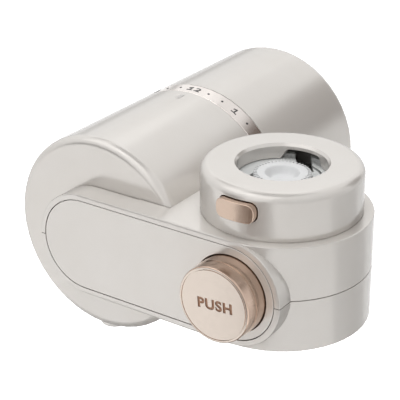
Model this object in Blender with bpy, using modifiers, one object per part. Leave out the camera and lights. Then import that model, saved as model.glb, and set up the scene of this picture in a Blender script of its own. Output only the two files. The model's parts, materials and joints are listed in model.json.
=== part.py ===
"""Faucet mount water filter: a quick release collar, a valve housing with a push button, and a
filter drum that lies behind the housing's arm. Metres, +Z up, the front faces -Y.
The origin is on the faucet's axis, level with the collar's mouth."""
import math

import bmesh
import bpy
from mathutils import Matrix, Vector

# Gap between pieces that touch, and the distance within which a shape's points are welded
GAP = 0.0003
WELD = 0.000001

# Collar: a cup turned upside down with a socket sleeve in its middle
COLLAR_RIM = 0.0120
COLLAR_HEIGHT = 0.0159
COLLAR_WALL = 0.0025
COLLAR_TOP = 0.0020
COLLAR_EDGE = 0.0030
SOCKET_RADIUS = 0.0150
SOCKET_DEPTH = 0.0053
SOCKET_WALL = 0.0018
COLLAR_RADIUS = SOCKET_RADIUS + COLLAR_RIM
MOUTH_FLARE = 0.0007
MOUTH_FLARE_DEPTH = 0.0010
WINDOW_WIDTH = 0.0160
WINDOW_HEIGHT = 0.0032
WINDOW_OFFSET = -0.0006
WINDOW_LEAN = 30.0
WINDOW_CORNER = 0.0013

# Release button on the collar's front, and the latch plate that it pushes back
RELEASE_WIDTH = 0.0140
RELEASE_HEIGHT = 0.0065
RELEASE_DROP = 0.0034
RELEASE_CORNER = 0.0024
RELEASE_PROUD = 0.0022
RELEASE_EDGE = 0.0010
RELEASE_EDGE_ANGLE = 50.0
RELEASE_TRAVEL = 0.0018
RELEASE_FLANGE_LIP = 0.0012
RELEASE_FLANGE = 0.0012
LATCH_THICKNESS = 0.0020
LATCH_SIDE_ROOM = 0.0013
CATCH_HEIGHT = 0.0011
CATCH_WIDTH = 0.0190
CATCH_DEPTH = 0.0020
LATCH_NOTCH_RIGHT = 0.0009
LATCH_NOTCH_LEFT = -0.0055
LATCH_NOTCH_LEAN = 35.0
LATCH_NOTCH_FRONT = 0.0092
FINGER_RADIUS = 0.0126
FINGER_SLOT = 0.0010
FINGER_REACH = 0.0092
RELEASE_SPRING_RADIUS = 0.00055
RELEASE_SPRING_WIRE = 0.00015
RELEASE_SPRING_SPACING = 0.0080
RELEASE_SPRING_TURNS = 4
RELEASE_POCKET_DEPTH = 0.0025

# Inlet: the toothed strainer and the seat that carries it under the collar
STRAINER_RADIUS = 0.0096
STRAINER_DROP = 0.0038
STRAINER_WALL = 0.0011
STRAINER_TOP = 0.0012
STRAINER_TEETH = 44
STRAINER_TOOTH_DEPTH = 0.0014
BOWL_RADIUS = 0.0060
BOWL_DEPTH = 0.0009
SEAT_FLANGE = 0.0025
SPIGOT_RADIUS = 0.0065
SPIGOT_LENGTH = 0.0056
INLET_BORE = 0.0040
RING_WIRE = 0.0006

# Valve housing: a round body whose arm runs to the drum's middle
BODY_RADIUS = 0.0305
BODY_HEIGHT = 0.0374
BODY_WALL = 0.0022
BODY_EDGE = 0.0005
ARM_DEPTH = 0.0088
ARM_PROUD = 0.0002
ARM_BACK_WALL = 0.0015
BEZEL_WIDTH = 0.0020
LEDGE_WIDTH = 0.0020
PANEL_THICKNESS = 0.0020
PARTING_DROP = 0.0002
SPRAY_RADIUS = 0.0140
SPRAY_THICKNESS = 0.0024
SPRAY_RECESS = 0.0018
SPRAY_HOLE = 0.0007
SPRAY_BOSS_WALL = 0.0020

# Push button, its spring and the diverter spool behind it
BUTTON_MARGIN = 0.0053
BUTTON_STEP_IN = 0.0002
BUTTON_PROUD = 0.0094
BUTTON_STEP = 0.0046
BUTTON_SKIRT = 0.0062
BUTTON_WALL = 0.0015
BUTTON_FACE = 0.0020
BUTTON_EDGE = 0.0006
BUTTON_GROOVE = 0.0003
BUTTON_RIM = 0.0009
STEM_BOSS_LENGTH = 0.0040
STEM_BOSS_WALL = 0.0013
BUTTON_SPRING_RADIUS = 0.0072
BUTTON_SPRING_WIRE = 0.00045
BUTTON_SPRING_TURNS = 5
STEM_RADIUS = 0.0024
SPOOL_RADIUS = 0.0057
LAND_LENGTH = 0.0050
LAND_SPACING = 0.0070
FRONT_LAND_Y = -0.0130
SPOOL_RING_WIRE = 0.0007

# Valve core: the water block in the middle of the housing
CORE_RADIUS = 0.0090
CORE_FRONT_Y = -0.0175
CORE_BACK_Y = 0.0140
CORE_END_WALL = 0.0020
INLET_SOCKET_WALL = 0.0018
INLET_PORT_Y = -0.0022
INLET_PORT_RADIUS = 0.0022
SIDE_PORT_Y = -0.0056
SIDE_PORT_LENGTH = 0.0125
SIDE_PORT_WALL = 0.0014
OUTLET_RADIUS = 0.0065
OUTLET_BORE = 0.0045
OUTLET_PORT_Y = 0.0016
OUTLET_PORT_RADIUS = 0.0019
FEED_RADIUS = 0.0021
FEED_BORE = 0.0013
FEED_TO_SADDLE = 0.0016
FEED_BEND = 0.0030
FEED_INSERTION = 0.0032
FEED_SIDES = 8

# Drum: front barrel, dial ring and rear cap on one axis
DRUM_RADIUS = 0.0359
DRUM_TO_COLLAR = 0.00304
DRUM_WALL = 0.0024
DRUM_EDGE = 0.0030
BARREL_LENGTH = 0.0541
RING_WIDTH = 0.0072
CAP_LENGTH = 0.0537
NECK_LENGTH = 0.0135
NECK_WALL = 0.0024
RING_EDGE = 0.0002
BARREL_RING_BACK = 0.0026
SOCKET_BOSS_WALL = 0.0022
SOCKET_BOSS_LENGTH = 0.0099
NOZZLE_RADIUS = 0.0054
NOZZLE_BORE = 0.0036
NOZZLE_BACK = 0.0073
NOZZLE_PROUD = 0.0014
NOZZLE_INSIDE = 0.0009
NOZZLE_EDGE = 0.0008

# Cartridge: two end caps on a filter block
CARTRIDGE_ROOM = 0.0010
CARTRIDGE_BLOCK_INSET = 0.0005
CARTRIDGE_CAP = 0.0030
CARTRIDGE_FRONT_ROOM = 0.0109
CARTRIDGE_GRIP = 0.0060
CARTRIDGE_GRIP_RADIUS = 0.0100
CARTRIDGE_GRIP_WALL = 0.0022
CARTRIDGE_BORE = 0.0060
NIPPLE_RADIUS = 0.0050
NIPPLE_BORE = 0.0025
NIPPLE_RING_DEPTH = 0.0045
CARTRIDGE_RING_WIRE = 0.0006

# Screws
SCREW_RADIUS = 0.0012
SCREW_HEAD_RADIUS = 0.0024
SCREW_HEAD = 0.0016
SCREW_BOSS = 0.0033
SCREW_SINK = 0.0040
HOUSING_SCREW_CIRCLE = 0.0215
HOUSING_SCREW_ANGLES = (-20.0, 80.0, 140.0)
HOUSING_SCREW_LENGTH = 0.0260
BARREL_SCREW_ROOM = 0.0011
BARREL_SCREW_LENGTH = 0.0075

# Facets round a full turn
LARGE_STEPS = 48
BUTTON_STEPS = 40
MEDIUM_STEPS = 32
SMALL_STEPS = 20
SEAL_STEPS = 16
TINY_STEPS = 10
EDGE_STEPS = 4
WIRE_SIDES = 6
COIL_STEPS = 8
FINE_WIRE_SIDES = 4
SHARP_ANGLE = 30.0

# Levels and planes that several pieces share
BODY_TOP_Z = -COLLAR_HEIGHT - GAP
BODY_BOTTOM_Z = BODY_TOP_Z - BODY_HEIGHT
ARM_RADIUS = BODY_HEIGHT / 2
MID_Z = BODY_TOP_Z - ARM_RADIUS
PARTING_Z = MID_Z - PARTING_DROP
ARM_FRONT_Y = -BODY_RADIUS - ARM_PROUD
ARM_BACK_Y = ARM_FRONT_Y + ARM_DEPTH
DRUM_REACH = math.sqrt(DRUM_RADIUS ** 2 - (MID_Z + COLLAR_HEIGHT) ** 2)
ARM_LENGTH = COLLAR_RADIUS + DRUM_TO_COLLAR + DRUM_REACH
DRUM_X = -ARM_LENGTH
DRUM_FRONT_Y = ARM_BACK_Y + GAP
BARREL_BACK_Y = DRUM_FRONT_Y + BARREL_LENGTH
RING_FRONT_Y = BARREL_BACK_Y + GAP
CAP_FRONT_Y = RING_FRONT_Y + RING_WIDTH + GAP
CAP_BACK_Y = CAP_FRONT_Y + CAP_LENGTH
NECK_RADIUS = DRUM_RADIUS - DRUM_WALL - GAP
NECK_BACK_Y = BARREL_BACK_Y + NECK_LENGTH
CARTRIDGE_RADIUS = NECK_RADIUS - NECK_WALL - CARTRIDGE_ROOM
CARTRIDGE_BLOCK_RADIUS = CARTRIDGE_RADIUS - CARTRIDGE_BLOCK_INSET
PANEL_BACK_Y = ARM_FRONT_Y + PANEL_THICKNESS
LEDGE_Y = PANEL_BACK_Y + GAP
LATCH_TOP_Z = -SOCKET_DEPTH - GAP
HUB_TOP_Z = LATCH_TOP_Z - LATCH_THICKNESS - GAP
COLLAR_INSIDE = COLLAR_RADIUS - COLLAR_WALL
LATCH_RADIUS = COLLAR_INSIDE - RELEASE_TRAVEL - GAP - LATCH_SIDE_ROOM
HUB_RADIUS = LATCH_RADIUS - RELEASE_TRAVEL - GAP
RELEASE_BACK_Y = -LATCH_RADIUS - GAP
RELEASE_MID_Z = -RELEASE_DROP - RELEASE_HEIGHT / 2
RELEASE_SPRING_Z = HUB_TOP_Z - RELEASE_SPRING_RADIUS - RELEASE_SPRING_WIRE
BUTTON_RADIUS = ARM_RADIUS - BUTTON_MARGIN
BUTTON_TOP_RADIUS = BUTTON_RADIUS - BUTTON_STEP_IN
BUTTON_FRONT_Y = ARM_FRONT_Y - BUTTON_PROUD
BUTTON_BACK_Y = ARM_FRONT_Y + BUTTON_SKIRT
BUTTON_INNER_Y = BUTTON_FRONT_Y + BUTTON_FACE
STEM_FRONT_Y = BUTTON_INNER_Y + GAP
SPOOL_BORE = SPOOL_RADIUS + GAP
FEED_Y = (LEDGE_Y + ARM_BACK_Y - ARM_BACK_WALL) / 2
FEED_DROP_X = DRUM_X + DRUM_RADIUS + GAP + BODY_WALL + FEED_TO_SADDLE + FEED_RADIUS
SOCKET_BOSS_BORE = NIPPLE_RADIUS + CARTRIDGE_RING_WIRE / 3 + 2 * GAP
SOCKET_BOSS_RADIUS = SOCKET_BOSS_BORE + SOCKET_BOSS_WALL
FRONT_WALL_Y = DRUM_FRONT_Y + DRUM_WALL
CARTRIDGE_FRONT_Y = FRONT_WALL_Y + CARTRIDGE_FRONT_ROOM
NIPPLE_FRONT_Y = FRONT_WALL_Y + FEED_RADIUS
CARTRIDGE_BACK_Y = CAP_BACK_Y - DRUM_WALL - GAP - CARTRIDGE_GRIP
SPRAY_TOP_Z = BODY_BOTTOM_Z + SPRAY_RECESS - GAP

# Colours as linear red, green, blue, then roughness and metallic
IVORY = ((0.72, 0.69, 0.65), 0.28, 0.0)
ROSE_GOLD = ((0.78, 0.60, 0.50), 0.25, 1.0)
WHITE = ((0.80, 0.80, 0.79), 0.45, 0.0)
GREY = ((0.52, 0.52, 0.51), 0.5, 0.0)
DARK = ((0.03, 0.03, 0.03), 0.5, 0.0)
STEEL = ((0.55, 0.55, 0.56), 0.3, 1.0)
RUBBER = ((0.02, 0.02, 0.02), 0.7, 0.0)
FILTER = ((0.62, 0.61, 0.58), 0.9, 0.0)


def clear_scene():
    for obj in list(bpy.data.objects):
        bpy.data.objects.remove(obj, do_unlink=True)


def collection(name):
    group = bpy.data.collections.new(name)
    bpy.context.scene.collection.children.link(group)
    return group


clear_scene()
PARTS = collection("faucet_mount_water_filter")
CUTTERS = collection("cutters")


def material(name, finish):
    colour, roughness, metallic = finish
    shader = bpy.data.materials.new(name)
    shader.use_nodes = True
    principled = shader.node_tree.nodes["Principled BSDF"]
    principled.inputs["Base Color"].default_value = (*colour, 1.0)
    principled.inputs["Roughness"].default_value = roughness
    principled.inputs["Metallic"].default_value = metallic
    return shader


def cutter(name, mesh):
    """Every shape starts as a cutter, and node() makes a part of it."""
    obj = bpy.data.objects.new(name, mesh)
    obj.hide_render = True
    obj.display_type = "WIRE"
    CUTTERS.objects.link(obj)
    return obj


def boolean(obj, tool, operation):
    """operation is DIFFERENCE, UNION or INTERSECT."""
    modifier = obj.modifiers.new(operation.lower(), "BOOLEAN")
    modifier.operation = operation
    modifier.object = tool
    modifier.solver = "EXACT"


def evaluated_mesh(obj):
    bpy.context.view_layer.update()
    return bpy.data.meshes.new_from_object(obj.evaluated_get(bpy.context.evaluated_depsgraph_get()))


def node(obj, name, finish):
    """Makes a shape one of the object's parts, with its modifiers applied and its round faces smooth."""
    mesh = evaluated_mesh(obj)
    obj.modifiers.clear()
    obj.data = mesh
    obj.name = name
    mesh.name = name
    mesh.shade_smooth()
    mesh.set_sharp_from_angle(angle=math.radians(SHARP_ANGLE))
    mesh.materials.clear()
    mesh.materials.append(material(name, finish))
    obj.hide_render = False
    obj.display_type = "TEXTURED"
    CUTTERS.objects.unlink(obj)
    PARTS.objects.link(obj)
    return obj


def turned(name, profile, ring=False, steps=LARGE_STEPS):
    """Turns a profile of (radius, height) about Z. A ring's profile is a closed loop."""
    mesh = bpy.data.meshes.new(name)
    edges = [(i, i + 1) for i in range(len(profile) - 1)]
    if ring:
        edges.append((len(profile) - 1, 0))
    mesh.from_pydata([(radius, 0, height) for radius, height in profile], edges, [])
    obj = cutter(name, mesh)
    screw = obj.modifiers.new("turn", "SCREW")
    screw.axis = "Z"
    screw.steps = steps
    screw.render_steps = steps
    screw.use_merge_vertices = True
    screw.merge_threshold = WELD
    screw.use_normal_calculate = False
    return obj


def along_y(obj, x=0.0, z=MID_Z):
    """Lays a turned shape down, so that its heights are read along Y."""
    obj.rotation_euler = (math.radians(-90), 0, 0)
    obj.location = (x, 0, z)
    return obj


def arc(centre_radius, centre_height, radius, start, end, steps=EDGE_STEPS):
    """Points of a rounded corner in a turned profile, its angles in degrees from outwards to upwards."""
    points = []
    for i in range(steps + 1):
        angle = math.radians(start + (end - start) * i / steps)
        points.append((centre_radius + radius * math.cos(angle), centre_height + radius * math.sin(angle)))
    return points


def cylinder(name, radius, low, high, steps=SMALL_STEPS, x=0.0, y=0.0):
    """A cylinder on a vertical axis, turned by half a facet so that its edges keep clear of other shapes'."""
    mesh = bpy.data.meshes.new(name)
    form = bmesh.new()
    bmesh.ops.create_cone(form, cap_ends=True, segments=steps, radius1=radius, radius2=radius,
                          depth=high - low)
    bmesh.ops.rotate(form, verts=form.verts, matrix=Matrix.Rotation(math.pi / steps, 3, "Z"))
    bmesh.ops.translate(form, verts=form.verts, vec=(0, 0, (low + high) / 2))
    form.to_mesh(mesh)
    form.free()
    obj = cutter(name, mesh)
    obj.location = (x, y, 0)
    return obj


def box(name, low, high):
    mesh = bpy.data.meshes.new(name)
    form = bmesh.new()
    bmesh.ops.create_cube(form, size=1)
    bmesh.ops.scale(form, verts=form.verts, vec=Vector(high) - Vector(low))
    bmesh.ops.translate(form, verts=form.verts, vec=(Vector(high) + Vector(low)) / 2)
    form.to_mesh(mesh)
    form.free()
    return cutter(name, mesh)


def curve_to_mesh(curve, name):
    """Turns a curve into a closed mesh, its caps welded."""
    guide = cutter(name, curve)
    mesh = evaluated_mesh(guide)
    bpy.data.objects.remove(guide)
    form = bmesh.new()
    form.from_mesh(mesh)
    bmesh.ops.remove_doubles(form, verts=form.verts, dist=WELD)
    form.to_mesh(mesh)
    form.free()
    return mesh


def prism(name, outline, low, high, edge=0.0):
    """A flat outline in XY that runs from low to high along Z, its rims rounded by edge."""
    curve = bpy.data.curves.new(name, "CURVE")
    curve.dimensions = "2D"
    curve.fill_mode = "BOTH"
    curve.extrude = (high - low) / 2 - edge
    curve.bevel_depth = edge
    curve.bevel_resolution = 1
    curve.offset = -edge
    spline = curve.splines.new("POLY")
    spline.points.add(len(outline) - 1)
    for point, (x, y) in zip(spline.points, outline):
        point.co = (x, y, 0, 1)
    spline.use_cyclic_u = True
    mesh = curve_to_mesh(curve, name)
    mesh.transform(Matrix.Translation((0, 0, (low + high) / 2)))
    return cutter(name, mesh)


def front_prism(name, outline, front, back, edge=0.0):
    """A flat outline in X and Z that runs from front to back along Y."""
    obj = prism(name, outline, -back, -front, edge)
    obj.rotation_euler = (math.radians(90), 0, 0)
    return obj


def obround(left, right, middle, radius, steps=LARGE_STEPS // 2):
    """Two half circles joined by straight sides."""
    points = []
    for centre, start in ((right, -90), (left, 90)):
        for i in range(steps + 1):
            angle = math.radians(start + 180 * i / steps)
            points.append((centre + radius * math.cos(angle), middle + radius * math.sin(angle)))
    return points


def rounded_rectangle(width, height, corner, middle, steps=EDGE_STEPS):
    points = []
    for sign_x, sign_y, start in ((1, -1, -90), (1, 1, 0), (-1, 1, 90), (-1, -1, 180)):
        for i in range(steps + 1):
            angle = math.radians(start + 90 * i / steps)
            points.append((sign_x * (width / 2 - corner) + corner * math.cos(angle),
                           middle + sign_y * (height / 2 - corner) + corner * math.sin(angle)))
    return points


def window_outline(low, high):
    """The collar's window in X and Z: its sides lean inwards, and its upper corners are round."""
    lean = math.radians(WINDOW_LEAN)
    half = WINDOW_WIDTH / 2
    corner_z = high - WINDOW_CORNER
    corner_x = half - (WINDOW_CORNER + (corner_z - low) * math.sin(lean)) / math.cos(lean)
    right = arc(corner_x, corner_z, WINDOW_CORNER, WINDOW_LEAN, 90)
    points = [(half, low)] + right
    left = [(-x, z) for x, z in reversed(points)]
    return [(x + WINDOW_OFFSET, z) for x, z in points + left]


def wire(name, points, radius, sides=WIRE_SIDES):
    """A round rod through the points, closed at both ends."""
    curve = bpy.data.curves.new(name, "CURVE")
    curve.dimensions = "3D"
    curve.bevel_depth = radius
    curve.bevel_resolution = sides // 2 - 2
    curve.use_fill_caps = True
    spline = curve.splines.new("POLY")
    spline.points.add(len(points) - 1)
    for point, place in zip(spline.points, points):
        point.co = (*place, 1)
    return cutter(name, curve_to_mesh(curve, name))


def coil(name, x, z, front, back, radius, wire_radius, turns, sides=WIRE_SIDES, steps=COIL_STEPS):
    """A compression spring along Y, its wire's outer side level with front and back."""
    points = []
    count = turns * steps
    length = back - front - 2 * wire_radius
    for i in range(count + 1):
        angle = 2 * math.pi * i / steps
        y = front + wire_radius + length * i / count
        points.append((radius * math.cos(angle), y, radius * math.sin(angle)))
    spring = wire(name, points, wire_radius, sides)
    spring.location = (x, 0, z)
    return spring


def seal_ring(name, radius, wire_radius, middle, steps=SEAL_STEPS):
    """An O-ring about Z at the height middle, where radius is that of its wire's middle line."""
    profile = arc(radius, middle, wire_radius, 90, -270, WIRE_SIDES)[:-1]
    return turned(name, profile, ring=True, steps=steps)


def housing_screw_places():
    places = []
    for angle in HOUSING_SCREW_ANGLES:
        turn = math.radians(angle)
        places.append((HOUSING_SCREW_CIRCLE * math.cos(turn), HOUSING_SCREW_CIRCLE * math.sin(turn)))
    return places


def barrel_screw_heights():
    rise = SOCKET_BOSS_RADIUS + BARREL_SCREW_ROOM + SCREW_HEAD_RADIUS
    return (MID_Z + rise, MID_Z - rise)


def make_collar():
    """The cup with its socket sleeve, cut for the release button and, at the back, for the catches."""
    socket_outside = SOCKET_RADIUS + SOCKET_WALL
    profile = [(SOCKET_RADIUS, -SOCKET_DEPTH), (SOCKET_RADIUS, -MOUTH_FLARE_DEPTH),
               (SOCKET_RADIUS + MOUTH_FLARE, 0)]
    profile += arc(COLLAR_RADIUS - COLLAR_EDGE, -COLLAR_EDGE, COLLAR_EDGE, 90, 0)
    profile += [(COLLAR_RADIUS, -COLLAR_HEIGHT), (COLLAR_INSIDE, -COLLAR_HEIGHT),
                (COLLAR_INSIDE, -COLLAR_TOP), (socket_outside, -COLLAR_TOP),
                (socket_outside, -SOCKET_DEPTH)]
    collar = turned("collar_form", profile, ring=True)
    hole = front_prism("release_hole",
                       rounded_rectangle(RELEASE_WIDTH + 2 * GAP, RELEASE_HEIGHT + 2 * GAP,
                                         RELEASE_CORNER + GAP, RELEASE_MID_Z),
                       -COLLAR_RADIUS - COLLAR_WALL, RELEASE_BACK_Y)
    boolean(collar, hole, "DIFFERENCE")
    outline = window_outline(-SOCKET_DEPTH - GAP, WINDOW_HEIGHT - SOCKET_DEPTH)
    window = front_prism("catch_window", outline, SOCKET_RADIUS / 2, socket_outside + GAP)
    boolean(collar, window, "DIFFERENCE")
    return node(collar, "collar", IVORY)


def make_release_button():
    """The curved key, with a flange behind the collar's wall and a pocket for each spring."""
    button = front_prism("release_form",
                         rounded_rectangle(RELEASE_WIDTH, RELEASE_HEIGHT, RELEASE_CORNER, RELEASE_MID_Z),
                         -COLLAR_RADIUS - 2 * RELEASE_PROUD, RELEASE_BACK_Y)
    face = cylinder("release_face", COLLAR_RADIUS + RELEASE_PROUD, -COLLAR_HEIGHT, 0, LARGE_STEPS)
    boolean(button, face, "INTERSECT")
    bevel = button.modifiers.new("edge", "BEVEL")
    bevel.width = RELEASE_EDGE
    bevel.segments = 2
    bevel.limit_method = "ANGLE"
    bevel.angle_limit = math.radians(RELEASE_EDGE_ANGLE)
    flange = front_prism("release_flange",
                         rounded_rectangle(RELEASE_WIDTH + 2 * RELEASE_FLANGE_LIP,
                                           RELEASE_HEIGHT + 2 * RELEASE_FLANGE_LIP - 2 * GAP,
                                           RELEASE_CORNER, RELEASE_MID_Z),
                         RELEASE_BACK_Y - RELEASE_FLANGE, RELEASE_BACK_Y)
    boolean(button, flange, "UNION")
    for x in (-RELEASE_SPRING_SPACING / 2, RELEASE_SPRING_SPACING / 2):
        pocket = cylinder("spring_pocket", RELEASE_SPRING_RADIUS + RELEASE_SPRING_WIRE + GAP,
                          RELEASE_BACK_Y - RELEASE_POCKET_DEPTH, RELEASE_BACK_Y + GAP, TINY_STEPS)
        along_y(pocket, x, RELEASE_SPRING_Z)
        boolean(button, pocket, "DIFFERENCE")
    return node(button, "release_button", ROSE_GOLD)


def make_latch_plate():
    """A sliding plate round the strainer. Two catches stand at its back on either side of a slanting
    notch, and a slot frees a springy finger beside the strainer."""
    plate = cylinder("latch_form", LATCH_RADIUS, LATCH_TOP_Z - LATCH_THICKNESS, LATCH_TOP_Z, LARGE_STEPS)
    catch_inside = SOCKET_RADIUS + SOCKET_WALL + GAP
    catch_outside = catch_inside + CATCH_DEPTH
    catch_low = LATCH_TOP_Z - LATCH_THICKNESS / 2
    catch_high = LATCH_TOP_Z + CATCH_HEIGHT
    catches = turned("catches", [(catch_inside, catch_low), (catch_inside, catch_high),
                                 (catch_outside, catch_high), (catch_outside, catch_low)], ring=True)
    boolean(catches, box("catch_span", (-CATCH_WIDTH / 2, 0, catch_low - GAP),
                         (CATCH_WIDTH / 2, COLLAR_RADIUS, catch_high + GAP)), "INTERSECT")
    boolean(plate, catches, "UNION")
    opening = obround(-RELEASE_TRAVEL - GAP, 0, 0, STRAINER_RADIUS + GAP, MEDIUM_STEPS // 2)
    slot = prism("strainer_slot", opening, HUB_TOP_Z, catch_high)
    slot.rotation_euler = (0, 0, math.radians(90))
    boolean(plate, slot, "DIFFERENCE")
    slope = math.tan(math.radians(LATCH_NOTCH_LEAN))
    front = (catch_inside - LATCH_NOTCH_FRONT) * slope
    back = (catch_inside - COLLAR_RADIUS) * slope
    notch = [(LATCH_NOTCH_LEFT + front, LATCH_NOTCH_FRONT), (LATCH_NOTCH_RIGHT + front, LATCH_NOTCH_FRONT),
             (LATCH_NOTCH_RIGHT + back, COLLAR_RADIUS), (LATCH_NOTCH_LEFT + back, COLLAR_RADIUS)]
    boolean(plate, prism("latch_notch", notch, HUB_TOP_Z, catch_high + GAP), "DIFFERENCE")
    slot_outside = FINGER_RADIUS + FINGER_SLOT
    slot_top = catch_low + LATCH_THICKNESS
    finger_slot = turned("finger_ring", [(FINGER_RADIUS, HUB_TOP_Z), (FINGER_RADIUS, slot_top),
                                         (slot_outside, slot_top), (slot_outside, HUB_TOP_Z)], ring=True)
    boolean(finger_slot, box("finger_span", (0, 0, HUB_TOP_Z - GAP),
                             (FINGER_REACH, COLLAR_RADIUS, catch_high + GAP)), "INTERSECT")
    boolean(plate, finger_slot, "DIFFERENCE")
    return node(plate, "latch_plate", GREY)


def make_release_springs():
    """They push the release button out again, from flats on the seat's hub."""
    front = RELEASE_BACK_Y - RELEASE_POCKET_DEPTH + GAP
    back = -HUB_RADIUS - GAP
    for name, x in (("release_spring_left", -RELEASE_SPRING_SPACING / 2),
                    ("release_spring_right", RELEASE_SPRING_SPACING / 2)):
        spring = coil(name, x, RELEASE_SPRING_Z, front, back, RELEASE_SPRING_RADIUS,
                      RELEASE_SPRING_WIRE, RELEASE_SPRING_TURNS, FINE_WIRE_SIDES)
        node(spring, name, STEEL)


def make_inlet_seat():
    """The hub under the latch plate, and the spigot that plugs into the valve core."""
    flange_radius = COLLAR_INSIDE - GAP
    flange_top = -COLLAR_HEIGHT + SEAT_FLANGE
    spigot_end = BODY_TOP_Z - SPIGOT_LENGTH
    groove = ring_groove(SPIGOT_RADIUS, RING_WIRE, spigot_end + SPIGOT_LENGTH / 3)
    profile = [(INLET_BORE, spigot_end), (INLET_BORE, HUB_TOP_Z), (HUB_RADIUS, HUB_TOP_Z),
               (HUB_RADIUS, flange_top), (flange_radius, flange_top), (flange_radius, -COLLAR_HEIGHT),
               (SPIGOT_RADIUS, -COLLAR_HEIGHT)]
    profile += groove
    profile += [(SPIGOT_RADIUS, spigot_end)]
    seat = turned("seat_form", profile, ring=True, steps=MEDIUM_STEPS)
    return node(seat, "inlet_seat", DARK)


def ring_groove(radius, wire_radius, middle):
    """Profile points, running down, of a groove that lets a seal ring sit inside the shaft's size."""
    half = wire_radius + GAP
    depth = 2 * wire_radius + GAP
    return [(radius, middle + half), (radius - depth, middle + half), (radius - depth, middle - half),
            (radius, middle - half)]


def groove_ring_radius(radius, wire_radius):
    """Middle line of the seal ring that lies in that groove."""
    return radius - wire_radius


def make_strainer():
    """A white cap with a bowl in its top. Water goes in between the teeth round its rim."""
    top = -STRAINER_DROP
    bottom = HUB_TOP_Z + GAP
    bowl_rise = (BOWL_RADIUS ** 2 - BOWL_DEPTH ** 2) / (2 * BOWL_DEPTH)
    sphere = bowl_rise + BOWL_DEPTH
    half_angle = math.degrees(math.asin(BOWL_RADIUS / sphere))
    bowl = arc(0, top + bowl_rise, sphere, -90, -90 + half_angle)
    inside = STRAINER_RADIUS - STRAINER_WALL
    ceiling = top - BOWL_DEPTH - STRAINER_TOP
    profile = bowl + [(STRAINER_RADIUS, top), (STRAINER_RADIUS, bottom), (inside, bottom),
                      (inside, ceiling), (0, ceiling)]
    cap = turned("strainer_form", profile, steps=MEDIUM_STEPS)
    boolean(cap, tooth_gaps(top), "DIFFERENCE")
    return node(cap, "inlet_strainer", WHITE)


def tooth_gaps(top):
    """One cutter that holds the slots between all the strainer's teeth."""
    form = bmesh.new()
    pitch = 2 * math.pi * STRAINER_RADIUS / STRAINER_TEETH
    for i in range(STRAINER_TEETH):
        angle = 2 * math.pi * i / STRAINER_TEETH
        slot = bmesh.ops.create_cube(form, size=1)["verts"]
        bmesh.ops.scale(form, verts=slot, vec=(2 * STRAINER_WALL, pitch / 2, 2 * STRAINER_TOOTH_DEPTH))
        bmesh.ops.translate(form, verts=slot, vec=(STRAINER_RADIUS + STRAINER_WALL / 4, 0, top))
        turn = Vector((math.cos(angle), math.sin(angle)))
        for vert in slot:
            x, y = vert.co.x, vert.co.y
            vert.co.x = x * turn.x - y * turn.y
            vert.co.y = x * turn.y + y * turn.x
    mesh = bpy.data.meshes.new("tooth_gaps")
    form.to_mesh(mesh)
    form.free()
    return cutter("tooth_gaps", mesh)


def make_inlet_seal():
    middle = BODY_TOP_Z - SPIGOT_LENGTH + SPIGOT_LENGTH / 3
    ring = seal_ring("seal_form", groove_ring_radius(SPIGOT_RADIUS, RING_WIRE), RING_WIRE, middle)
    return node(ring, "inlet_seal", RUBBER)


def body_outline(radius, left):
    """The round body seen from above, drawn out to the left until it is inside the drum."""
    points = []
    steps = LARGE_STEPS // 2
    for i in range(steps + 1):
        angle = math.radians(-90 + 180 * i / steps)
        points.append((radius * math.cos(angle), radius * math.sin(angle)))
    return points + [(left, radius), (left, -radius)]


def housing_form():
    """Both housing shells in one piece, hollow and cut for all that goes through them."""
    left = DRUM_X + DRUM_RADIUS / 2
    form = prism("housing_form", body_outline(BODY_RADIUS, left), BODY_BOTTOM_Z, BODY_TOP_Z, BODY_EDGE)
    saddle_front = ARM_BACK_Y
    saddle_back = BODY_RADIUS + BODY_WALL
    saddle = cylinder("saddle", DRUM_RADIUS + GAP, saddle_front, saddle_back, LARGE_STEPS)
    boolean(form, along_y(saddle, DRUM_X), "DIFFERENCE")
    arm = front_prism("arm", obround(DRUM_X, 0, MID_Z, ARM_RADIUS), ARM_FRONT_Y, ARM_BACK_Y, BODY_EDGE)
    boolean(form, arm, "UNION")
    boolean(form, body_hollow(left), "DIFFERENCE")
    recess = front_prism("panel_recess", obround(DRUM_X, 0, MID_Z, ARM_RADIUS - BEZEL_WIDTH),
                         ARM_FRONT_Y - ARM_DEPTH, LEDGE_Y)
    boolean(form, recess, "DIFFERENCE")
    opening = front_prism("arm_hollow", obround(DRUM_X, 0, MID_Z, ARM_RADIUS - BEZEL_WIDTH - LEDGE_WIDTH),
                          ARM_FRONT_Y, ARM_BACK_Y - ARM_BACK_WALL)
    boolean(form, opening, "DIFFERENCE")
    add_spray_boss(form)
    add_screw_bosses(form)
    spigot_hole = cylinder("spigot_hole", SPIGOT_RADIUS + GAP, BODY_TOP_Z - 2 * BODY_WALL, BODY_TOP_Z + GAP)
    boolean(form, spigot_hole, "DIFFERENCE")
    feed_hole = cylinder("feed_hole", FEED_RADIUS + GAP, ARM_BACK_Y - 2 * ARM_BACK_WALL, ARM_BACK_Y + GAP,
                         TINY_STEPS)
    boolean(form, along_y(feed_hole, DRUM_X), "DIFFERENCE")
    return form


def body_hollow(left):
    """The room inside the body, with the saddle's wall left against the drum."""
    hollow = prism("body_hollow", body_outline(BODY_RADIUS - BODY_WALL, left),
                   BODY_BOTTOM_Z + BODY_WALL, BODY_TOP_Z - BODY_WALL)
    wall = cylinder("saddle_wall", DRUM_RADIUS + GAP + BODY_WALL, ARM_BACK_Y - ARM_BACK_WALL,
                    BODY_RADIUS + BODY_WALL, LARGE_STEPS)
    boolean(hollow, along_y(wall, DRUM_X), "DIFFERENCE")
    return hollow


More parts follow.
